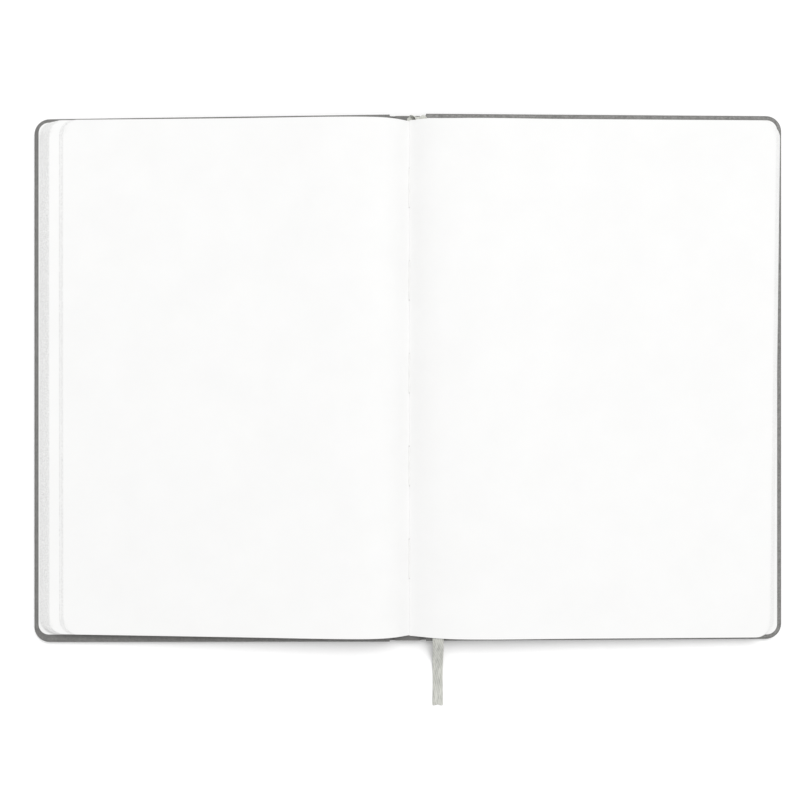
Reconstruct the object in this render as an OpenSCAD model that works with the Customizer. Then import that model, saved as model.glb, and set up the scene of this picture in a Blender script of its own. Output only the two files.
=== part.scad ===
// Hardcover sketchbook, thread-sewn, lying open near its middle.
// Origin: the middle of the footprint, on the table. +Y is the head of the
// pages and +X is towards the back cover. All sizes are in millimetres.

/* [Pages] */
// Width of one leaf, from the fold to the fore-edge
page_w = 148; // [146:1:150]
// Height of one leaf, from the tail to the head
page_h = 210; // [150:1:300]
// Thickness of one leaf
leaf_t = 0.17; // [0.12:0.01:0.17]
// Leaves in one sewn section
section_leaves = 4; // [4:2:6]
// Radius of the rounded page corners
page_corner_r = 6; // [2:0.5:12]
// How far the front leaves fan out at their fore-edge
front_fan = 6.2; // [0:0.2:7]
// How much further in the fore-edge of the opened section's front leaves lies
opened_step = 4.8; // [0:0.1:5]
// How far the back leaves fan out at their fore-edge
back_fan = 3.1; // [0:0.1:5]
// How much steeper than the cover the topmost front leaves lie, in degrees
front_bulk = 1.8; // [0:0.1:2.5]
// Air between neighbouring sections
section_gap = 0.05; // [0.03:0.01:0.1]

/* [Cover] */
// Width of one cover board
board_w = 146.4; // [144:0.4:150]
// Height of the cover
cover_h = 215; // [214:1:304]
// Thickness of the grey board
board_t = 2; // [1.5:0.1:3]
// Thickness of the imitation leather
skin_t = 0.3; // [0.2:0.05:0.5]
// Width of the leather folded over onto the inside of the board
turn_in = 15; // [10:1:20]
// Radius of the rounded cover corners
cover_corner_r = 6; // [2:0.5:12]
// Thickness of the endpaper
endpaper_t = 0.15; // [0.1:0.01:0.2]
// Rise of each cover from its fore-edge up to the spine, in degrees
cover_slope = 1.8; // [1.5:0.1:3]

/* [Spine] */
// Distance between the two boards, across the open spine
spine_gap = 14.8; // [13.6:0.1:18]
// Width of the stiff strip inside the spine
strip_w = 10.2; // [9.9:0.1:12]
// Thickness of the stiff strip
strip_t = 1; // [0.6:0.1:1.2]
// Width of the gauze that reaches onto each board
flap_w = 12; // [8:1:20]
// Where the leaves part, to the right of the middle of the spine
gutter_x = 0.6; // [-1:0.1:1]

/* [Sewing] */
// Length of one visible stitch
stitch_l = 17; // [8:1:24]
// Distance from one stitch to the next
stitch_pitch = 38; // [30:1:42]
// Number of stitches along the gutter
stitches = 5; // [3:1:5]
// Thickness of the thread
thread_d = 0.6; // [0.3:0.1:0.8]

/* [Ribbon] */
// Width of the ribbon marker
ribbon_w = 4.5; // [3:0.5:6]
// Thickness of the ribbon marker
ribbon_t = 0.35; // [0.2:0.05:0.4]
// Room that the ribbon makes between two sections
ribbon_room = 0.55; // [0.5:0.05:0.8]

/* [Hidden] */

FRONT = -1; // the side of the front cover, left of the gutter
BACK = 1; // the side of the back cover, right of the gutter
clear = 0.05; // running clearance between pieces that move apart
over = 1; // how far a cutting shape runs past what it cuts
corner_step = 7.5; // degrees between the points of a rounded corner
$fn = 64;

section_t = section_leaves * leaf_t;
section_step = section_t + section_gap;
half_section_t = section_t / 2;
front_sections = 5; // whole sections on the front side of the opening
back_sections = 6; // whole sections on the back side of the opening
under_ribbon = 3; // back sections that lie below the ribbon

// Heights above the underside of a cover, measured square to it
board_top = skin_t + board_t;
skin_top = board_top + skin_t;
inside = skin_top + endpaper_t;
flyleaf_h = inside + clear;
first_section_h = flyleaf_h + leaf_t + section_gap;
ribbon_h = first_section_h + under_ribbon * section_step;

// A cover's fore-edge lies on the table this far from the middle
fore_x = spine_gap / 2 + board_w * cos(cover_slope);
bend_start = 2.6; // from a board's inner edge out to where the leaves dive to the folds
// The leaves lie flat from their fore-edge to this far from the cover's fore-edge
flat_w = board_w - bend_start;
flap_h = cover_h - 2 * (turn_in + clear); // height of the gauze window inside the turn-ins
square_w = 1.9; // leather rim left showing round the pastedown and beside the lowest leaves

// Heights above the table in the spine, which lies level between the covers
spine_sag = 0.15; // how far the spine hangs below the boards' inner edges
spine_z = board_w * sin(cover_slope) - spine_sag;
strip_z = spine_z + skin_t;
lining_z = strip_z + strip_t;
lining_t = 0.15;
lining_margin = 10; // from the lining paper to the head and the tail of the pages
mull_t = 0.2;
folds_z = lining_z + lining_t + mull_t + clear;
fold_h = 0.8;

// Closed, the pages fill the width between the two pastedowns
front_stack = first_section_h - inside + front_sections * section_step + half_section_t;
back_stack = first_section_h - inside + back_sections * section_step + half_section_t
    + ribbon_room - section_gap;
block_t = front_stack + back_stack + 2 * clear;

leather = "#6f6e6c";
greyboard = "#9b948a";
white_paper = "#f7f7f5";
ivory_thread = "#e6e2d8";
gauze = "#d9d4c6";
grey_ribbon = "#c3c4bc";

// The ribbon's route: x, y, z of its middle line, from the head of the spine
// through the back leaves and down over the tail to the table
ROUTE = [
    [2, 106.4, 5.95], [2, 106.8, 5.95], [2.3, 107.2, 6.3], [2.8, 107.4, 7.1], [3.5, 107.2, 8],
    [4.3, 106.5, 8.8], [5.3, 105.2, 9.3], [6.3, 103, 9.65], [7.4, 98, 9.85], [8.5, 90, 9.92],
    [9.4, 78, 9.92], [9.9, 62, 9.92], [10.3, 45, 9.92], [10.6, 28, 9.92], [10.9, 10, 9.92],
    [11.2, -8, 9.92], [11.5, -26, 9.91], [11.8, -44, 9.91], [12, -62, 9.9],
    [12.1, -80, 9.9], [12.2, -95, 9.9], [12.3, -103, 9.9], [12.3, -106, 9.84],
    [12.3, -108.2, 9.2], [12.4, -110, 8], [12.4, -111.6, 6.4], [12.4, -113.2, 4.7],
    [12.4, -115, 3], [12.4, -117, 1.6], [12.4, -119.5, 0.7], [12.4, -123, 0.35],
    [12.4, -127, 0.3], [12.4, -131, 0.3], [12.4, -135.6, 0.3]
];
anchor_l = 9; // length of the glued end that lies within the pages' height
leaves_z = 5; // above this height the ribbon lies on the leaves, below it on the table
loop_end = 4; // last point of the stretch that stays with the spine
leaf_start = 7; // first point of the stretch that lies in the back leaves
// Corners of the ribbon's cross-section, as shares of half its width and thickness
RIBBON_SECTION = [
    [-1, -0.5], [-0.85, -1], [0.85, -1], [1, -0.5],
    [1, 0.5], [0.85, 1], [-0.85, 1], [-1, 0.5]
];

// Share of the way through the front leaves at a height above the cover
function front_share(h) = (h - flyleaf_h) / (front_stack - clear);
function back_share(h) = (h - flyleaf_h) / (back_stack - clear);
// From the cover's fore-edge to the fore-edge of the leaves at a height
function front_edge(h) = square_w + front_fan * front_share(h);
function back_edge(h) = square_w + back_fan * back_share(h);
// Height of the underside of the nth whole section, counted from the cover
function front_h(n) = first_section_h + (n - 1) * section_step;
function back_h(n) = first_section_h + (n - 1) * section_step
    + (n > under_ribbon ? ribbon_room - section_gap : 0);

function unit(v) = v / norm(v);
function last(list) = len(list) - 1;
function along(points, i) = unit(points[min(i + 1, last(points))] - points[max(i - 1, 0)]);
// Direction across the ribbon: it lies on the sloping leaves, then on the table
function across(i) = let (t = along(ROUTE, i), slope = ROUTE[i].z > leaves_z ? cover_slope : 0,
    w = [cos(slope), 0, -sin(slope)]) unit(w - (w * t) * t);
function ribbon_ring(i) = let (w = across(i), n = cross(w, along(ROUTE, i)))
    [for (c = RIBBON_SECTION) ROUTE[i] + c.x * w * ribbon_w / 2 + c.y * n * ribbon_t / 2];

// Puts a shape drawn flat, with its fore-edge at x = 0 and its body at
// negative x, onto the sloping cover of one side
module on_cover(side) {
    mirror([side == FRONT ? 1 : 0, 0, 0])
        translate([fore_x, 0, 0])
            rotate([0, cover_slope, 0])
                children();
}

// Outline of a leaf or board: square at the spine, rounded at the fore-edge
module outline(inner, outer, height, corner_r) {
    tail_corner = [-outer - corner_r, corner_r - height / 2];
    head_corner = [-outer - corner_r, height / 2 - corner_r];
    polygon([
        [-inner, -height / 2],
        for (angle = [-90:corner_step:0]) tail_corner + corner_r * [cos(angle), sin(angle)],
        for (angle = [0:corner_step:90]) head_corner + corner_r * [cos(angle), sin(angle)],
        [-inner, height / 2]
    ]);
}

module sheet(bottom, thickness, inner, outer, height, corner_r) {
    translate([0, 0, bottom])
        linear_extrude(thickness)
            outline(inner, outer, height, corner_r);
}

// A stack of leaves. It lies steeper than the cover by bulk degrees, turned
// up about a line above the cover's fore-edge
module leaves(side, bottom, thickness, edge, bulk = 0) {
    color(white_paper)
        on_cover(side)
            translate([0, 0, bottom])
                rotate([0, bulk, 0])
                    sheet(0, thickness, flat_w, edge, page_h, page_corner_r);
}

module front_section(n) {
    h = front_h(n);
    leaves(FRONT, h, section_t, front_edge(h), front_bulk * front_share(h));
}

// Back sections are counted up from the back cover, so section 12 is the first
module back_section(number) {
    n = front_sections + back_sections + 2 - number;
    leaves(BACK, back_h(n), section_t, back_edge(back_h(n)));
}

module board(side) {
    color(greyboard)
        on_cover(side)
            sheet(skin_t, board_t, board_w, skin_t, cover_h - 2 * skin_t, cover_corner_r - skin_t);
}

module cover_skin(side) {
    color(leather)
        on_cover(side)
            difference() {
                sheet(0, skin_top, board_w, 0, cover_h, cover_corner_r);
                sheet(skin_t, board_t, board_w + over, skin_t,
                    cover_h - 2 * skin_t, cover_corner_r - skin_t);
                translate([-board_w - over, turn_in - cover_h / 2, skin_t])
                    cube([board_w + over - turn_in, cover_h - 2 * turn_in, skin_top]);
            }
}

// The pastedown covers the turn-ins and sinks onto the board between them
module pastedown(side) {
    color(white_paper)
        on_cover(side) {
            sheet(skin_top, endpaper_t, board_w, square_w, cover_h - 2 * square_w,
                cover_corner_r - square_w);
            translate([-board_w + flap_w + clear, -flap_h / 2, board_top])
                cube([board_w - flap_w - turn_in - 2 * clear, flap_h, skin_t]);
        }
}

module mull_flap(side) {
    color(gauze)
        on_cover(side)
            translate([-board_w, -flap_h / 2, board_top])
                cube([flap_w, flap_h, mull_t]);
}

module spine_bar(width, height, bottom, thickness) {
    translate([-width / 2, -height / 2, bottom])
        cube([width, height, thickness]);
}

module front_board() { board(FRONT); }
module back_board() { board(BACK); }
module front_cover_skin() { cover_skin(FRONT); }
module back_cover_skin() { cover_skin(BACK); }
module front_pastedown() { pastedown(FRONT); }
module back_pastedown() { pastedown(BACK); }
module front_mull_flap() { mull_flap(FRONT); }
module back_mull_flap() { mull_flap(BACK); }

module front_flyleaf() { leaves(FRONT, flyleaf_h, leaf_t, front_edge(flyleaf_h)); }
module back_flyleaf() { leaves(BACK, flyleaf_h, leaf_t, back_edge(flyleaf_h)); }

module section_01() { front_section(1); }
module section_02() { front_section(2); }
module section_03() { front_section(3); }
module section_04() { front_section(4); }
module section_05() { front_section(5); }
module section_06_front() {
    h = front_h(front_sections + 1);
    leaves(FRONT, h, half_section_t, front_edge(h) + opened_step, front_bulk * front_share(h));
}
module section_06_back() {
    h = back_h(back_sections + 1);
    leaves(BACK, h, half_section_t, back_edge(h));
}
module section_07() { back_section(7); }
module section_08() { back_section(8); }
module section_09() { back_section(9); }
module section_10() { back_section(10); }
module section_11() { back_section(11); }
module section_12() { back_section(12); }

module spine_skin() {
    color(leather)
        spine_bar(strip_w, cover_h, spine_z, skin_t);
}

module spine_strip() {
    color(greyboard)
        spine_bar(strip_w, cover_h - 2 * skin_t, strip_z, strip_t);
}

module spine_lining() {
    color(white_paper)
        spine_bar(block_t, page_h - 2 * lining_margin, lining_z, lining_t);
}

module mull() {
    color(gauze)
        spine_bar(block_t, flap_h, lining_z + lining_t, mull_t);
}

// The folded backs of the twelve sections, side by side as they are glued
module section_folds() {
    first = clear + leaf_t + section_gap;
    color(white_paper)
        for (n = [0:front_sections + back_sections])
            translate([first - block_t / 2 + n * section_step
                + (n > front_sections + back_sections - under_ribbon ? ribbon_room - section_gap : 0),
                -page_h / 2, folds_z])
                cube([section_t, page_h, fold_h]);
}

module sewing_thread() {
    color(ivory_thread)
        for (n = [0:stitches - 1])
            translate([gutter_x, (n - (stitches - 1) / 2) * stitch_pitch - stitch_l / 2,
                folds_z + fold_h + thread_d / 2])
                rotate([-90, 0, 0])
                    cylinder(h = stitch_l, d = thread_d);
}

// The glued end of the ribbon, on the strip at the head of the spine
module ribbon_anchor() {
    color(grey_ribbon)
        translate([ROUTE[0].x - ribbon_w / 2, page_h / 2 - anchor_l, lining_z])
            cube([ribbon_w, ROUTE[0].y - page_h / 2 + anchor_l, folds_z - lining_z - clear]);
}

// A length of the ribbon, swept along the route from one point to another
module ribbon_length(from, to) {
    sides = len(RIBBON_SECTION);
    rings = to - from;
    points = [for (i = [from:to]) each ribbon_ring(i)];
    walls = [for (i = [0:rings - 1], k = [0:sides - 1])
        let (a = i * sides + k, b = i * sides + (k + 1) % sides)
        each [[a, b, b + sides], [a, b + sides, a + sides]]];
    start_cap = [for (k = [sides - 1:-1:0]) k];
    end_cap = [for (k = [0:sides - 1]) rings * sides + k];
    color(grey_ribbon)
        polyhedron(points = points, faces = concat([start_cap], walls, [end_cap]));
}

// The ribbon loops up past the head of the spine, and the limp stretch between
// these two lengths is left free to bend as the back cover closes
module ribbon_head() { ribbon_length(0, loop_end); }
module ribbon() { ribbon_length(leaf_start, last(ROUTE)); }

front_board();
back_board();
spine_strip();
front_cover_skin();
spine_skin();
back_cover_skin();
front_pastedown();
back_pastedown();
front_flyleaf();
back_flyleaf();
section_01();
section_02();
section_03();
section_04();
section_05();
section_06_front();
section_06_back();
section_07();
section_08();
section_09();
section_10();
section_11();
section_12();
section_folds();
sewing_thread();
spine_lining();
mull();
front_mull_flap();
back_mull_flap();
ribbon_anchor();
ribbon_head();
ribbon();
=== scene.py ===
"""Hardcover sketchbook lying open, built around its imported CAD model."""

import math

import bmesh
import bpy
import numpy as np
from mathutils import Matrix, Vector


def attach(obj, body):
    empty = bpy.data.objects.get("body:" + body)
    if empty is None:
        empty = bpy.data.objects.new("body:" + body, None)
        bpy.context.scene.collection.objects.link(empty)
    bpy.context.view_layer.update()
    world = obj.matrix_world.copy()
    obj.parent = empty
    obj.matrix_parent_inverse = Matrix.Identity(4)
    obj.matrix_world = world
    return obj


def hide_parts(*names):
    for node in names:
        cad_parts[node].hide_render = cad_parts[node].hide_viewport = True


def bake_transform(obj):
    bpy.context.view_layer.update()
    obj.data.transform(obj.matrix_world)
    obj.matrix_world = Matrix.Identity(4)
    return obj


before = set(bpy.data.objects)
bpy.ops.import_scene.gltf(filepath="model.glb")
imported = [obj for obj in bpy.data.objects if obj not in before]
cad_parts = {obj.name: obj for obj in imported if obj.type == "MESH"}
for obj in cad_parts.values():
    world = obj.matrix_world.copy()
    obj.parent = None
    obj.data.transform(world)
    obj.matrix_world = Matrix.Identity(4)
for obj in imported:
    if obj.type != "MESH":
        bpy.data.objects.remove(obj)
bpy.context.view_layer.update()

MM = 0.001
FRONT, BACK = -1, 1
rng = np.random.default_rng(7)

# Sizes in millimetres, the same as the CAD model's
page_h, page_corner_r = 210.0, 6.0
leaf_t, section_leaves, section_gap = 0.17, 4, 0.05
front_fan, back_fan, opened_step, square_w = 6.2, 3.1, 4.8, 1.9
board_w, cover_h, board_t, skin_t, turn_in = 146.4, 215.0, 2.0, 0.3, 15.0
cover_corner_r, endpaper_t = 6.0, 0.15
slope = math.radians(1.8)
spine_gap, strip_w, strip_t, gutter_x = 14.8, 10.2, 1.0, 0.6
ribbon_w, ribbon_room, under_ribbon = 4.5, 0.55, 3
section_t = section_leaves * leaf_t
section_step = section_t + section_gap
skin_top = skin_t + board_t + skin_t
inside = skin_top + endpaper_t
flyleaf_h = inside + 0.05
first_section_h = flyleaf_h + leaf_t + section_gap
front_stack = first_section_h - inside + 5 * section_step + section_t / 2
back_stack = front_stack + section_step + ribbon_room - section_gap
fore_x = spine_gap / 2 + board_w * math.cos(slope)
spine_z = board_w * math.sin(slope) - 0.15
strip_z = spine_z + skin_t
folds_z = strip_z + strip_t + 0.4
fold_top = folds_z + 0.8

# How the visual model's paper and covers lie, a little less evenly than the CAD model's
paper_t = 0.12  # thickness that each leaf is drawn with
arm_step = 0.14  # from one leaf to the next inside a section's fold
cover_skew = math.tan(math.radians(0.4))  # puts the front cover's fore-edge nearer the tail
cover_drop = {FRONT: -0.48, BACK: 0.36}  # how far towards the head each cover sits
leaves_drop = {FRONT: -0.15, BACK: -0.42}  # how far towards the head each cover's leaves sit
leaves_turn = 0.55  # how much further towards the head the front leaves' fore-edge sits
leaves_stretch = 1.0026  # how much taller the back leaves are than the front ones
leaves_out = 0.23  # how much further out the back leaves' fore-edge lies
leaves_shear = 0.0123  # and how much more for each mm towards the head
endpaper_rim = {FRONT: 1.72, BACK: 1.65}  # width of the leather beside each pastedown
endpaper_short = {FRONT: 0.4, BACK: -0.5}  # how much shorter it is than with even margins
endpaper_lift = {FRONT: 0.8, BACK: 0.0}  # how far towards the head it sits
edge_shade_amount = {FRONT: 1.0, BACK: 0.45}  # how much painted shade the leaves' fore-edges get, standing for the shade between the stepped leaves; the front's steps face away from the light
edge_round = 0.8  # radius of the covers' rounded edges
edge_wear = {FRONT: 0.5, BACK: 1.0}  # how worn those edges are, drawn as lighter leather; the front's being weaker than the back's is painted shade on the side the light misses
# The top page of each half: its height at the fore-edge, how far that edge is from the gutter, and
# how steeply the page rises towards the gutter; then its swell's height, place and width
page_slope = {FRONT: (7.5, 141.0, 0.0629), BACK: (8.5, 148.0, 0.0314)}
page_swell = {FRONT: (0.7, 32.0, 24.0), BACK: (1.2, 33.0, 24.0)}
ribbon_share = 0.47  # the leaf that the ribbon lies on, as a share of the way up its half

# ---------------------------------------------------------------- camera

camera_h, axis_x, axis_y, lens = 520.0, -3.2, -8.95, 56.5
camera_data = bpy.data.cameras.new("camera")
camera_data.lens, camera_data.sensor_width = lens, 36.0
camera = bpy.data.objects.new("camera", camera_data)
camera.location = (axis_x * MM, axis_y * MM, camera_h * MM)
camera_data.clip_start, camera_data.clip_end = 0.01, 20.0
bpy.context.scene.collection.objects.link(camera)
bpy.context.scene.camera = camera


# ---------------------------------------------------------------- helpers

def ease(u):
    """Smooth step from 0 to 1."""
    u = np.clip(u, 0.0, 1.0)
    return u * u * (3 - 2 * u)


class Pile:
    """Collects closed sheets and tubes, in millimetres, into one mesh."""

    def __init__(self):
        self.points, self.faces, self.wear, self.count = [], [], [], 0

    def add(self, points, faces, wear=0.0):
        """One part; its last argument, how worn it is and how much painted shade it takes, is one
        number or one for each point.
        """
        points = np.asarray(points, float).reshape(-1, 3)
        self.points.append(points)
        self.wear.append(np.broadcast_to(np.asarray(wear, float).ravel(), (len(points),)))
        self.faces.append(np.asarray(faces) + self.count)
        self.count += len(points)

    def shell(self, top, bottom, wear=0.0, closed_last=True):
        """A closed sheet between two grids of the same size, rows by columns."""
        rows, cols = top.shape[:2]
        index = np.arange(rows * cols).reshape(rows, cols)
        under = index + rows * cols

        def quads(a, b, c, d):
            return np.stack([a.ravel(), b.ravel(), c.ravel(), d.ravel()], 1)

        parts = [
            quads(index[:-1, :-1], index[:-1, 1:], index[1:, 1:], index[1:, :-1]),
            quads(under[:-1, :-1], under[1:, :-1], under[1:, 1:], under[:-1, 1:]),
            quads(index[0, 1:], index[0, :-1], under[0, :-1], under[0, 1:]),
            quads(index[:-1, 0], index[1:, 0], under[1:, 0], under[:-1, 0]),
            quads(index[1:, -1], index[:-1, -1], under[:-1, -1], under[1:, -1]),
        ]
        if closed_last:
            parts.append(quads(index[-1, :-1], index[-1, 1:], under[-1, 1:], under[-1, :-1]))
        wear = np.broadcast_to(wear, (rows, cols)).ravel() if np.ndim(wear) else wear
        both = np.concatenate([wear, wear * 0]) if np.ndim(wear) else wear
        self.add(np.concatenate([top.reshape(-1, 3), bottom.reshape(-1, 3)]),
                 np.concatenate(parts), both)

    def tube(self, rings, wear=0.0):
        """A solid through closed rings, each a list of points, capped at both ends."""
        rings = np.asarray(rings, float)
        count, sides = rings.shape[:2]
        index = np.arange(count * sides).reshape(count, sides)
        after = np.roll(index, -1, axis=1)
        faces = np.stack([index[:-1].ravel(), after[:-1].ravel(),
                          after[1:].ravel(), index[1:].ravel()], 1)
        start = count * sides
        points = np.concatenate([rings.reshape(-1, 3), rings[[0, -1]].mean(axis=1)])
        caps = np.concatenate([
            np.stack([after[0], index[0], np.full(sides, start), np.full(sides, start)], 1),
            np.stack([index[-1], after[-1], np.full(sides, start + 1),
                      np.full(sides, start + 1)], 1)])
        self.add(points, np.concatenate([faces, caps]), wear)

    def object(self, name, material, sharp=35.0, weld=0.0):
        """The finished object, in metres, smooth except over edges sharper than sharp degrees."""
        mesh = bpy.data.meshes.new(name)
        points = np.concatenate(self.points) * MM
        faces = [tuple(dict.fromkeys(f)) for f in np.concatenate(self.faces).tolist()]
        mesh.from_pydata(points.tolist(), [], faces)
        attribute = mesh.attributes.new("wear", "FLOAT", "POINT")
        attribute.data.foreach_set("value", np.concatenate(self.wear).astype(np.float32))
        shape = bmesh.new()
        shape.from_mesh(mesh)
        if weld:
            bmesh.ops.remove_doubles(shape, verts=shape.verts, dist=weld * MM)
        bmesh.ops.recalc_face_normals(shape, faces=shape.faces)
        for face in shape.faces:
            face.smooth = True
        for edge in shape.edges:
            edge.smooth = edge.calc_face_angle(math.pi) < math.radians(sharp)
        shape.to_mesh(mesh)
        shape.free()
        mesh.materials.append(material)
        obj = bpy.data.objects.new(name, mesh)
        bpy.context.scene.collection.objects.link(obj)
        return obj


def material(name, colours, roughness, noise_scale, grain_scale=0.0, bump=0.0, wear_colour=None,
             wave=None, sheen=0.0, specular=0.3, cells=False, stretch=None):
    """Procedural material: colours mixed by noise, fine grain as bump, an optional woven wave, and a
    marking colour on the mesh's marked points. A third colour makes small flecks. The marked points
    are lighter, worn leather on the covers' rims, kept weaker on the front cover as painted shade,
    and painted shade on the leaves' fore-edges and the stitch ends. On the ribbon the streaks,
    flecks and wave are partly its weave and partly painted highlight and shade."""
    made = bpy.data.materials.new(name)
    made.use_nodes = True
    nodes, links = made.node_tree.nodes, made.node_tree.links
    shader = nodes["Principled BSDF"]
    place = nodes.new("ShaderNodeTexCoord").outputs["Object"]
    if stretch:
        squeeze = nodes.new("ShaderNodeMapping")
        squeeze.inputs["Scale"].default_value = stretch
        links.new(place, squeeze.inputs["Vector"])
        place = squeeze.outputs["Vector"]

    def noise(scale, detail=4.0, rough=0.6):
        node = nodes.new("ShaderNodeTexNoise")
        node.inputs["Scale"].default_value = scale
        node.inputs["Detail"].default_value = detail
        node.inputs["Roughness"].default_value = rough
        links.new(place, node.inputs["Vector"])
        return node.outputs["Fac"]

    def mix(fac, a, b):
        node = nodes.new("ShaderNodeMix")
        node.data_type = "RGBA"
        if isinstance(fac, float):
            node.inputs[0].default_value = fac
        else:
            links.new(fac, node.inputs[0])
        for socket, value in ((6, a), (7, b)):
            if isinstance(value, tuple):
                node.inputs[socket].default_value = (*value, 1.0)
            else:
                links.new(value, node.inputs[socket])
        return node.outputs[2]

    def spread(value, low, high):
        node = nodes.new("ShaderNodeMapRange")
        node.inputs["From Min"].default_value = low
        node.inputs["From Max"].default_value = high
        links.new(value, node.inputs["Value"])
        return node.outputs["Result"]

    colour = mix(spread(noise(noise_scale), 0.33, 0.67), *colours[:2])
    if len(colours) > 2:
        colour = mix(spread(noise(noise_scale * 14, 2.0), 0.6, 0.72), colour, colours[2])
    heights = []
    if grain_scale:
        heights.append(noise(grain_scale, 5.0, 0.65))
        if cells:
            cell = nodes.new("ShaderNodeTexVoronoi")
            cell.inputs["Scale"].default_value = grain_scale * 0.8
            links.new(place, cell.inputs["Vector"])
            heights.append(cell.outputs["Distance"])
    for direction, scale in wave or ():
        node = nodes.new("ShaderNodeTexWave")
        node.bands_direction = direction
        node.inputs["Scale"].default_value = scale
        node.inputs["Distortion"].default_value = 0.6
        links.new(place, node.inputs["Vector"])
        heights.append(node.outputs["Fac"])
        colour = mix(spread(node.outputs["Fac"], -0.4, 2.4), colour, colours[-1])
    # the marking colour: lighter worn rims on the covers (weaker on the front as painted shade), and
    # painted shade on the leaves' fore-edges and the stitch ends
    if wear_colour:
        attribute = nodes.new("ShaderNodeAttribute")
        attribute.attribute_name = "wear"
        product = nodes.new("ShaderNodeMath")
        product.operation = "MULTIPLY"
        links.new(attribute.outputs["Fac"], product.inputs[0])
        links.new(spread(noise(grain_scale * 0.4), 0.35, 0.7), product.inputs[1])
        colour = mix(product.outputs[0], colour, wear_colour)
    links.new(colour, shader.inputs["Base Color"])
    links.new(mix(spread(noise(noise_scale * 3), 0.3, 0.7), (roughness,) * 3,
                  (min(1.0, roughness + 0.12),) * 3), shader.inputs["Roughness"])
    shader.inputs["Specular IOR Level"].default_value = specular
    shader.inputs["Sheen Weight"].default_value = sheen
    if heights and bump:
        total = heights[0]
        for other in heights[1:]:
            add = nodes.new("ShaderNodeMath")
            add.operation = "ADD"
            links.new(total, add.inputs[0])
            links.new(other, add.inputs[1])
            total = add.outputs[0]
        node = nodes.new("ShaderNodeBump")
        node.inputs["Distance"].default_value = bump
        links.new(total, node.inputs["Height"])
        links.new(node.outputs["Normal"], shader.inputs["Normal"])
    return made


# the leather's lighter marking colour is for its worn rims; that the front cover's rims get less of it
# is painted shade
leather = material("cover_leather", [(0.126, 0.125, 0.121), (0.158, 0.157, 0.152),
                                     (0.088, 0.087, 0.084)], 0.5, 300, 2600, 0.00006,
                   wear_colour=(0.26, 0.256, 0.248), cells=True, specular=0.4)
greyboard = material("grey_board", [(0.33, 0.3, 0.26), (0.27, 0.245, 0.21), (0.45, 0.42, 0.38)],
                     0.9, 500, 3000, 0.00004)
# the paper's darker marking colour is painted shade along the leaves' fore-edges
paper = material("page_paper", [(0.805, 0.805, 0.801), (0.82, 0.82, 0.816)], 0.85, 60, 5200,
                 0.000006, specular=0.2, wear_colour=(0.54, 0.54, 0.536))
endpaper = material("endpaper", [(0.79, 0.79, 0.785), (0.81, 0.81, 0.805)], 0.75, 40, 6000, 0.000004,
                    specular=0.25)
# the thread's dark marking colour is painted shade at the stitch ends
thread_look = material("thread", [(0.78, 0.78, 0.765), (0.83, 0.83, 0.82)], 0.7, 900, 5000,
                       0.00003, sheen=0.3, wear_colour=(0.3, 0.3, 0.29))
kraft = material("lining_paper", [(0.5, 0.4, 0.27), (0.6, 0.5, 0.36), (0.38, 0.3, 0.2)], 0.85, 250,
                 3500, 0.00002)
gauze = material("gauze", [(0.72, 0.69, 0.6), (0.66, 0.63, 0.55), (0.45, 0.42, 0.35)], 0.9, 400,
                 3000, 0.00005, wave=[("X", 420), ("Y", 420)])
# the ribbon's light and dark streaks, flecks and diagonal bands are partly its weave and partly
# painted highlight and shade on its ribs
ribbon_weave_and_sheen = material("ribbon", [(0.24, 0.243, 0.222), (0.56, 0.565, 0.52), (0.68, 0.685, 0.64)], 0.45, 850,
                 4500, 0.00002, wave=[("DIAGONAL", 700)], sheen=0.3, specular=0.4,
                 stretch=(1.0, 0.22, 0.3))


def on_cover(side, a, y, n):
    """Point at a from a cover's fore-edge, y along it and n above its underside, in the frame."""
    a, y, n = np.broadcast_arrays(np.asarray(a, float), y, n)
    x = side * (fore_x - a * math.cos(slope) + n * math.sin(slope))
    return np.stack([x, y, a * math.sin(slope) + n * math.cos(slope)], -1)


def skewed(side, points, fade_from=None):
    """Each cover lies a little askew; fade_from keeps what lies on the spine in place."""
    points = np.array(points)
    move = cover_drop[side] + 0 * points[..., 0]
    if side == FRONT:
        move += cover_skew * (points[..., 0] + fore_x - board_w / 2)
    if fade_from is not None:
        edge = side * spine_gap / 2
        move = move * np.clip((fade_from - points[..., 0]) / (fade_from - edge), 0, 1)
    points[..., 1] += move
    return points


def rim(inset, height, radius):
    """Open outline round a board's tail, fore-edge and head, drawn inset from its edge, as (a, y)."""
    half = max(height / 2 - inset, 0.0)
    r = min(max(radius - inset, 0.02), max(half, 0.001))
    sides = board_w - (board_w - inset - r) * ease(np.linspace(0, 1, 24))
    arc = np.linspace(0, math.pi / 2, 11)[1:-1]
    front = np.linspace(half - r, r - half, 30)
    tail = [(a, -half) for a in sides]
    tail += [(inset + r - r * math.sin(t), -half + r - r * math.cos(t)) for t in arc]
    middle = [(inset, -y) for y in front]
    head = [(a, -y) for a, y in reversed(tail)]
    return np.array(tail + middle + head)


# ---------------------------------------------------------------- how the leaves lie

def fold_centre(number):
    """Where a section's fold lies across the open spine; the sixth is opened at the gutter."""
    outer = 4.35  # the first and last fold's distance from the middle
    if number <= 6:
        return -outer + (gutter_x + outer) * (number - 1) / 5
    return gutter_x + (outer - gutter_x) * (number - 6) / 6


def low_z(x):
    """Height of the lowest leaf over a cover."""
    return (fore_x - np.abs(x)) * math.tan(slope) + flyleaf_h + leaf_t / 2


def top_z(side, x):
    """Height of the topmost page away from the gutter: the slope of the CAD slab, and a swell."""
    d = np.abs(x - gutter_x)
    edge_h, edge_d, rise = page_slope[side]
    swell_h, swell_d, swell_w = page_swell[side]
    swell = swell_h * np.exp(-((d - swell_d) / swell_w) ** 2)
    return edge_h + rise * np.maximum(edge_d - d, 0) + swell


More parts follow.
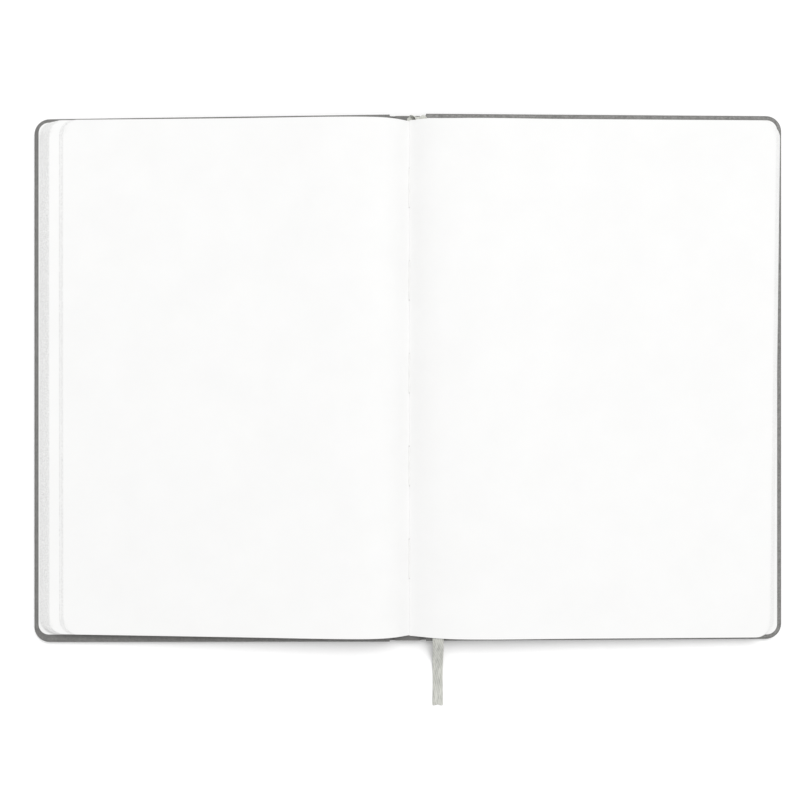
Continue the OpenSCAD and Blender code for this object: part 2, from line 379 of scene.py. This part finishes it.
def leaf_z(side, share, fold_x, x, y):
    """Height of the leaf at a share of the way up its half: from its fold up to where it lies."""
    tail = ease((-y - 10) / 110)
    reach = 2.4 + 5.1 * share ** 2 + (3.2 * tail * share if side == BACK else 0)
    rise = 1 - np.exp(-(np.abs(x - fold_x) / reach) ** (1.0 + 0.2 * share))
    level = low_z(x) + share * (top_z(side, x) - low_z(x))
    return fold_top + (level - fold_top) * rise


# ---------------------------------------------------------------- ribbon

ROUTE = [
    (2.4, 105.9, 5.95), (2.5, 106.2, 5.95), (3, 106.5, 6.3), (3.7, 106.6, 6.8), (4.4, 106.5, 7.3),
    (5.2, 105.9, 7.7), (5.9, 104.8, 8), (6.8, 102.4, 8.6), (7.6, 98, 9.4), (8.6, 90, 9.9),
    (9.4, 78, 9.92), (9.9, 62, 9.92), (10.3, 45, 9.92), (10.6, 28, 9.92), (10.9, 10, 9.92),
    (11.2, -8, 9.92), (11.5, -26, 9.91), (11.8, -44, 9.91), (12, -62, 9.9),
    (12.1, -80, 9.9), (12.2, -95, 9.9), (12.3, -103, 9.9), (12.3, -106, 9.84),
    (12.3, -108.2, 9.2), (12.4, -110, 8), (12.4, -111.6, 6.4), (12.4, -113.2, 4.7),
    (12.4, -115, 3), (12.4, -117, 1.6), (12.4, -119.5, 0.7), (12.4, -123, 0.35),
    (12.4, -127, 0.3), (12.4, -131, 0.3), (12.4, -135.6, 0.3),
]


def smooth_route(points, step):
    """Points every step along a Catmull-Rom curve through the route."""
    p = np.array(points, float)
    p = np.concatenate([[2 * p[0] - p[1]], p, [2 * p[-1] - p[-2]]])
    out = []
    for i in range(1, len(p) - 2):
        t = np.linspace(0, 1, 24, endpoint=False)[:, None]
        a, b, c, d = p[i - 1:i + 3]
        out.append(0.5 * (2 * b + (c - a) * t + (2 * a - 5 * b + 4 * c - d) * t ** 2
                          + (3 * b - a - 3 * c + d) * t ** 3))
    out = np.concatenate(out + [p[-2:-1]])
    run = np.concatenate([[0], np.cumsum(np.linalg.norm(np.diff(out, axis=0), axis=1))])
    at = np.linspace(0, run[-1], int(run[-1] / step) + 1)
    return np.stack([np.interp(at, run, out[:, k]) for k in range(3)], 1), at


def make_ribbon():
    """Woven ribbon: cross ribs, thicker selvedges, and a cut end worn into two soft lobes."""
    centre, run = smooth_route(ROUTE, 0.14)
    along = np.gradient(centre, axis=0)
    along /= np.linalg.norm(along, axis=1)[:, None]
    # between the leaves the ribbon lies on the one below it, rising out of the gutter
    x, y = centre[:, 0], centre[:, 1]
    edges = [leaf_z(BACK, ribbon_share, fold_centre(9.5), x + s * ribbon_w / 2, y)
             for s in (-1, 1)]
    hidden = ease((106.5 - np.abs(y)) / 2)
    centre[:, 2] += hidden * (np.minimum(sum(edges) / 2 + 0.3, centre[:, 2]) - centre[:, 2])
    lean = np.where(centre[:, 2] > 5, slope, 0.0)
    lean += hidden * (np.arctan2(edges[0] - edges[1], ribbon_w) - lean)
    flat = np.stack([np.cos(lean), np.zeros(len(lean)), -np.sin(lean)], 1)
    wide = flat - (flat * along).sum(1)[:, None] * along
    wide /= np.linalg.norm(wide, axis=1)[:, None]
    up = np.cross(wide, along)
    rib = 0.5 + 0.5 * np.cos(run * 2 * math.pi / 0.62)
    shares = np.array([-1, -0.93, -0.8, -0.5, -0.17, 0.17, 0.5, 0.8, 0.93, 1])
    body = np.array([0.05, 0.17, 0.13, 0.11, 0.11, 0.11, 0.11, 0.13, 0.17, 0.05])
    left = run[-1] - run
    crimp = 0.25 * np.exp(-((left - 9) / 7) ** 2)
    rings = []
    for side, order in ((1, slice(None)), (-1, slice(None, None, -1))):
        for s, t in zip(shares[order], body[order]):
            ribbed = t + 0.045 * rib * (0.3 if abs(s) > 0.9 else 1.0)
            lobe = 1.5 * (1 - abs(s)) ** 1.2 + 8.25 * max(abs(s) - 0.72, 0) ** 2
            pull = np.exp(-left / 1.6)[:, None] * lobe
            cup = crimp * (s * s - 0.35)
            width = ribbon_w / 2 * (1 - 0.1 * np.exp(-((left - 10) / 9) ** 2))
            rings.append(centre + wide * (s * width)[:, None] + up * (side * ribbed + cup)[:, None]
                         - along * pull)
    pile = Pile()
    pile.tube(np.stack(rings, 1))
    ribbon = pile.object("ribbon_marker", ribbon_weave_and_sheen, sharp=60)
    path = centre[::20].tolist() + [centre[-1].tolist()]
    path = [[c * MM for c in p] for p in path]
    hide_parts("ribbon_head", "ribbon")
    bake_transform(ribbon)


make_ribbon()


# ---------------------------------------------------------------- leaves

def stack_heights(side):
    """(section body, [height of each leaf's middle above the cover]) from the cover upwards."""
    name = "front" if side == FRONT else "back"
    rows = [(f"{name}_flyleaf", [flyleaf_h + leaf_t / 2])]
    whole = 5 if side == FRONT else 6
    for n in range(1, whole + 2):
        bottom = first_section_h + (n - 1) * section_step
        if side == BACK and n > under_ribbon:
            bottom += ribbon_room - section_gap
        number = n if side == FRONT else 13 - n
        last = n == whole + 1
        label = f"section_06_{name}" if last else f"section_{number:02d}"
        count = section_leaves // 2 if last else section_leaves
        rows.append((label, [bottom + (k + 0.5) * leaf_t for k in range(count)]))
    return rows


def leaf_grid(side, share, fold_x, fore_edge, rows, slack):
    """Middle surface of one leaf, as rows along the fore-edge by columns from the fold, and a mask,
    1 along the fore-edge and its corners and fading within 0.6 mm, that says where painted shade goes."""
    x_end = side * (fore_x - fore_edge)
    width = abs(x_end - fold_x)
    curved_w = 26.0
    dive = curved_w * np.linspace(0, 1, 30) ** 1.9
    flat = np.linspace(curved_w, width - page_corner_r, 16)[1:]
    corner = width - page_corner_r + page_corner_r * np.sin(np.linspace(0, math.pi / 2, 9))[1:]
    d = np.concatenate([dive, flat, corner])
    past = np.clip(d - (width - page_corner_r), 0, page_corner_r)
    half = page_h / 2 - (page_corner_r - np.sqrt(page_corner_r ** 2 - past ** 2))
    t = np.sin(np.linspace(-1, 1, rows) * math.pi / 2) * 0.5 + np.linspace(-1, 1, rows) * 0.5
    t = np.sort(np.concatenate([t, [-0.994, 0.994]]))
    y = t[:, None] * half[None, :]
    x = np.broadcast_to(fold_x + side * d, y.shape)
    # painted shade along the fore-edge and its corners, for the shade between the stepped leaves
    over = np.clip(np.abs(y) - (page_h / 2 - page_corner_r), 0, page_corner_r)
    edge_shade_mask = 1 - ease((page_corner_r - np.hypot(past[None, :], over)) / 0.6)
    edge_shade_mask = edge_shade_mask * ease(past / page_corner_r * 1.5)[None, :]
    z = leaf_z(side, share, fold_x, x, y)
    z = z + share ** 2 * slack * np.sin(x / 31 + y / 47 + side) * ease(d / 60)[None, :]
    if side == BACK and share > ribbon_share:
        # the leaves over the ribbon rise a little above it
        near = np.interp(y, [-106, -62, 10, 90, 103], [12.3, 12, 10.9, 8.5, 6.3])
        z = z + 0.6 * (1 - share) * np.exp(-((x - near) / 5) ** 2) * ease(d / 6)[None, :]
    out = (d / width)[None, :]
    if side == FRONT:
        y = y + leaves_turn * out + leaves_drop[side] * ease(d / 20)[None, :]
    else:
        x = x + (leaves_out + leaves_shear * y) * out
        y = y * leaves_stretch + leaves_drop[side] * ease(d / 20)[None, :]
    return np.stack([x, y, z], -1), edge_shade_mask


def make_leaves(side):
    """Every leaf of one half as its own closed sheet, one object for each section and flyleaf."""
    rows = stack_heights(side)
    heights = [h for _, hs in rows for h in hs]
    low, high = heights[0], heights[-1]
    stack = front_stack if side == FRONT else back_stack
    for body, section in rows:
        pile = Pile()
        flyleaf = body.endswith("flyleaf")
        for k, h in enumerate(section):
            share = (h - low) / (high - low)
            cad_share = (h - flyleaf_h) / stack
            fan = square_w + (front_fan * cad_share ** 1.3 if side == FRONT
                              else back_fan * cad_share)
            if side == FRONT and h > high - 2.5 * leaf_t:
                fan += opened_step - 0.25 * (high - h) / leaf_t
            number = (1 if side == FRONT else 12) if flyleaf else int(body[8:10])
            fold_x = fold_centre(number) + side * ((1.5 - k) * arm_step + (0.35 if flyleaf else 0))
            top_leaf = h == high
            fan += 0 if top_leaf or flyleaf else rng.normal(0, 0.06)
            grid, edge_shade_mask = leaf_grid(side, share, fold_x, fan, 30 if share > 0.8 else 14, 0.25)
            grid[..., 1] += rng.normal(0, 0.07)
            lift = np.array([0, 0, paper_t / 2])
            # the fore-edge mask, scaled per half and none on the lowest leaf, puts painted shade there
            pile.shell(grid + lift, grid - lift, edge_shade_mask * ease(share / 0.18) * edge_shade_amount[side])
        leaves = pile.object(f"{body}_leaves", endpaper if flyleaf else paper)
        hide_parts(body)
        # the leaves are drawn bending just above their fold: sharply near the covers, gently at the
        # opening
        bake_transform(leaves)


for leaf_side in (FRONT, BACK):
    make_leaves(leaf_side)


def make_folds():
    """The folded backs of the sections: nested sheets bent round, glued side by side."""
    pile = Pile()
    rows = np.array([-page_h / 2, -page_h / 6, page_h / 6, page_h / 2])
    for number in range(1, 13):
        centre = fold_centre(number)
        for arm in (0.5, 1.5):
            radius = arm * arm_step
            bend = np.linspace(math.pi, 2 * math.pi, 9)
            bottom = folds_z + 0.03 + (1.5 - arm) * arm_step + radius
            x = np.concatenate([[-radius], radius * np.cos(bend), [radius]]) + centre
            z = np.concatenate([[fold_top], bottom + radius * np.sin(bend), [fold_top]])
            out_x, out_z = np.gradient(z), -np.gradient(x)
            size = np.hypot(out_x, out_z)
            lift = np.stack([out_x / size, out_x * 0, out_z / size], -1) * paper_t / 2
            line = np.stack([x, x * 0, z], -1)
            grid = line[None] + rows[:, None, None] * np.array([0, 1, 0])
            pile.shell(grid + lift, grid - lift)
    folds = pile.object("folded_backs", paper)
    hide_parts("section_folds")
    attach(folds, "spine")


def make_thread():
    """Five stitches of two-ply thread, each going down through the fold at both ends."""
    pile = Pile()
    pitch, first_middle, half = 37.9, -73.8, 8.5
    for n in range(5):
        middle = first_middle + n * pitch
        s = np.linspace(-1, 1, 161)
        y = middle + half * np.sign(s) * (1 - (1 - np.abs(s)) ** 1.15)
        z = fold_top + 0.2 - 0.75 * ease((np.abs(s) - 0.93) / 0.07) + 0.05 * np.cos(s * 9)
        x = gutter_x + 0.05 * np.sin(s * 5 + n)
        turn = np.linspace(0, 2 * math.pi, 13)[:-1]
        rings = []
        for i in range(len(s)):
            r = 0.17 + 0.05 * np.cos(2 * (turn - y[i] * 4.2))
            rings.append(np.stack([x[i] + r * np.cos(turn), np.full(len(turn), y[i]),
                                   z[i] + r * np.sin(turn)], 1))
        # painted shade: the stitch ends and their caps are darkened where the thread goes down into
        # its holes
        shade = np.repeat(ease((np.abs(s) - 0.86) / 0.06), len(turn))
        pile.tube(rings, np.concatenate([shade, [1, 1]]))
    thread = pile.object("stitches", thread_look, sharp=70)
    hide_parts("sewing_thread")
    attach(thread, "spine")


make_folds()
make_thread()


# ---------------------------------------------------------------- covers

def make_cover(side):
    """One cover: its leather with the turned-in edge, the board inside it and the pastedown."""
    name = "front" if side == FRONT else "back"
    body = f"{name}_cover"
    # the leather, from the turned-in edge out over the rim and under the board
    bend = np.linspace(0, math.pi / 2, 6)
    # the third number marks how worn each part of the rim is, lighter on the rounded edges; it is
    # scaled per cover, the front's weaker as painted shade
    profile = [(turn_in, skin_top, 0), (10, skin_top, 0), (5, skin_top, 0), (2, skin_top, 0.1)]
    r = edge_round
    profile += [(r - r * math.sin(t), skin_top - r + r * math.cos(t), 1) for t in bend]
    profile += [(r - r * math.cos(t), r - r * math.sin(t), 1) for t in bend]
    profile += [(2, 0, 0.2), (6, 0, 0), (15, 0, 0), (30, 0, 0), (55, 0, 0), (80, 0, 0),
                (cover_h / 2, 0, 0)]
    count = len(profile)
    outer, inner, wear = [], [], []
    for i, (inset, n, rim_wear_and_shade) in enumerate(profile):
        before, after = profile[max(i - 1, 0)], profile[min(i + 1, count - 1)]
        out = np.array([after[1] - before[1], before[0] - after[0]])
        out = out / (np.linalg.norm(out) or 1)
        line = rim(inset, cover_h, cover_corner_r)
        outer.append(on_cover(side, line[:, 0], line[:, 1], n))
        deep = inset + out[0] * skin_t if i < count - 1 else inset
        line = rim(deep, cover_h, cover_corner_r)
        inner.append(on_cover(side, line[:, 0], line[:, 1], n - out[1] * skin_t))
        wear.append(np.full(len(line), rim_wear_and_shade * edge_wear[side]))
    pile = Pile()
    pile.shell(skewed(side, outer), skewed(side, inner), np.array(wear), closed_last=False)
    skin = pile.object(f"{name}_cover_leather", leather, sharp=40, weld=0.004)
    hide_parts(f"{name}_cover_skin")
    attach(skin, body)

    def flat(label, look, slot, node, inset, low, high, radius, rounded, height=cover_h, lift=0.0):
        """A board or paper as a closed solid with slightly rounded edges, lift mm headward."""
        steps = [(inset + rounded, low), (inset, low + rounded), (inset, high - rounded),
                 (inset + rounded, high)]
        rings = []
        for deep, n in steps:
            line = rim(deep, height, radius + inset)
            rings.append(on_cover(side, line[:, 0], line[:, 1] + lift, n))
        fill = [8, 30, 60, 90, cover_h / 2]
        tops, bottoms = [], []
        for deep in reversed(fill):
            line = rim(deep, height, radius + inset)
            bottoms.append(on_cover(side, line[:, 0], line[:, 1] + lift, low))
            tops.append(on_cover(side, line[:, 0], line[:, 1] + lift, high))
        grid = skewed(side, np.array(bottoms + rings + tops[::-1]))
        rows, cols = grid.shape[:2]
        index = np.arange(rows * cols).reshape(rows, cols)
        faces = np.stack([index[:-1, :-1].ravel(), index[:-1, 1:].ravel(),
                          index[1:, 1:].ravel(), index[1:, :-1].ravel()], 1)
        solid = Pile()
        solid.add(grid, faces)
        # close the spine end, from the tail ends of the rings to their head ends
        half = rows // 2
        for edge in (index[:, 0], index[:, -1]):
            strip = [(edge[i], edge[i + 1], edge[rows - 2 - i], edge[rows - 1 - i])
                     for i in range(half - 1)]
            solid.faces.append(np.array(strip))
        obj = solid.object(label, look, sharp=40, weld=0.004)
        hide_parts(node)
        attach(obj, body)

    flat(f"{name}_grey_board", greyboard, "grey_board", f"{name}_board", skin_t, skin_t + 0.005,
         skin_top - skin_t - 0.005, cover_corner_r - skin_t, 0.45)
    edge = endpaper_rim[side]
    flat(f"{name}_endpaper", endpaper, "endpaper", f"{name}_pastedown", edge,
         skin_top + 0.005, inside, cover_corner_r - edge, 0.03,
         height=cover_h - 2 * (square_w - edge) - endpaper_short[side], lift=endpaper_lift[side])


def joint_strip(name, side, from_point, to_point, thickness, half_height, look, bow,
                turned=0.0):
    """A flexible strip from the spine to a cover's inner edge. It sags by bow, and is thicker
    by turned where its head and tail are turned in."""
    u = np.linspace(0, 1, 18)
    rows = np.concatenate([np.linspace(-half_height, -half_height + 1.2, 7),
                           np.linspace(-half_height + 3, half_height - 3, 30),
                           np.linspace(half_height - 1.2, half_height, 7)])
    x = from_point[0] + (to_point[0] - from_point[0]) * u
    z = from_point[1] + (to_point[1] - from_point[1]) * u - bow * np.sin(u * math.pi)
    edge = np.clip((half_height - np.abs(rows)) / 0.45, 0, 1)
    round_off = np.sqrt(1 - (1 - edge) ** 2)
    top_t = thickness + (turned * ease((np.abs(rows) - (half_height - turn_in)) / 0.8))
    mid = z[None, :] + top_t[:, None] / 2
    half = top_t[:, None] / 2 * (0.15 + 0.85 * round_off[:, None])
    shape = np.broadcast_arrays(x[None, :], rows[:, None], mid)
    top = np.stack([shape[0], shape[1], mid + half], -1)
    bottom = np.stack([shape[0], shape[1], mid - half], -1)
    pile = Pile()
    fade = from_point[0]
    pile.shell(skewed(side, top, fade), skewed(side, bottom, fade))
    strip = pile.object(name, look, sharp=50)
    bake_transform(strip)


def make_joints(side):
    """The three layers that hinge a cover to the spine: leather, endpaper and gauze."""
    name = "front" if side == FRONT else "back"
    foot = on_cover(side, board_w, 0, 0)
    lip = on_cover(side, board_w, 0, skin_top)
    joint_strip(f"{name}_joint_leather", side, (side * strip_w / 2, spine_z), (foot[0], foot[2]),
                skin_t, cover_h / 2, leather, 0.25, turned=skin_t)
    joint_strip(f"{name}_joint_endpaper", side, (side * 4.7, folds_z + 0.25), (lip[0], lip[2]),
                endpaper_t, page_h / 2, endpaper, 0.35)
    joint_strip(f"{name}_joint_gauze", side, (side * 4.75, folds_z - 0.2),
                (side * spine_gap / 2, lip[2] - 0.6), 0.12, 92, gauze, 0.2)


def make_spine_leather():
    """The leather under the stiff strip, turned in over its head and tail."""
    bend = np.linspace(0, math.pi / 2, 6)
    r, top = 0.5, strip_z + strip_t + 0.03
    half = cover_h / 2
    profile = [(half - 11, top), (half - 4, top)]
    profile += [(half - r + r * math.sin(t), top - r + r * math.cos(t)) for t in bend]
    profile += [(half - r + r * math.cos(t), spine_z + r - r * math.sin(t)) for t in bend]
    profile += [(half - 6, spine_z), (half - 40, spine_z)]
    line = np.array(profile)
    line = np.concatenate([line, (line * [-1, 1])[::-1]])
    out = np.gradient(line, axis=0)
    out = np.stack([-out[:, 1], out[:, 0]], 1)
    out /= np.linalg.norm(out, axis=1)[:, None]
    thick = np.where(line[:, 1] > top - 0.01, 0.025, skin_t)[:, None]
    deep = line - out * thick
    x = np.linspace(-strip_w / 2, strip_w / 2, 12)
    grids = []
    for shape in (line, deep):
        y, z = np.broadcast_arrays(shape[:, 0][None], shape[:, 1][None])
        grids.append(np.stack(np.broadcast_arrays(x[:, None], y, z), -1))
    pile = Pile()
    pile.shell(grids[0], grids[1])
    skin = pile.object("spine_leather", leather, sharp=50)
    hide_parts("spine_skin")
    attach(skin, "spine")


for cover_side in (FRONT, BACK):
    make_cover(cover_side)
    make_joints(cover_side)
make_spine_leather()

# ---------------------------------------------------------------- carried-over CAD nodes

LOOKS = {
    "spine_strip": greyboard, "spine_lining": kraft, "mull": gauze,
    "front_mull_flap": gauze, "back_mull_flap": gauze, "ribbon_anchor": ribbon_weave_and_sheen,
}
for node, look in LOOKS.items():
    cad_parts[node].data.materials.clear()
    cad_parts[node].data.materials.append(look)

# ---------------------------------------------------------------- floor and light

floor_mesh = bpy.data.meshes.new("floor")
floor_half = 3.0
floor_mesh.from_pydata([(-floor_half, -floor_half, 0), (floor_half, -floor_half, 0),
                        (floor_half, floor_half, 0), (-floor_half, floor_half, 0)],
                       [], [(0, 1, 2, 3)])
floor = bpy.data.objects.new("floor", floor_mesh)
floor.location.z = -0.0002
floor_mesh.materials.append(material("floor", [(0.97, 0.97, 0.97), (0.98, 0.98, 0.98)], 0.9, 3,
                                     specular=0.0))
bpy.context.scene.collection.objects.link(floor)

world = bpy.data.worlds.new("studio")
world.use_nodes = True
world.node_tree.nodes["Background"].inputs["Color"].default_value = (1, 1, 1, 1)
world.node_tree.nodes["Background"].inputs["Strength"].default_value = 0.7
bpy.context.scene.world = world


def area_light(name, place, size, power):
    """A soft square light that faces the middle of the book."""
    data = bpy.data.lights.new(name, "AREA")
    data.size, data.energy = size, power
    light = bpy.data.objects.new(name, data)
    light.location = place
    light.rotation_euler = (-Vector(place)).to_track_quat("-Z", "Y").to_euler()
    bpy.context.scene.collection.objects.link(light)


area_light("key", (0.5, 1.15, 2.95), 1.4, 58.0)

bpy.context.scene.view_settings.view_transform = "Standard"
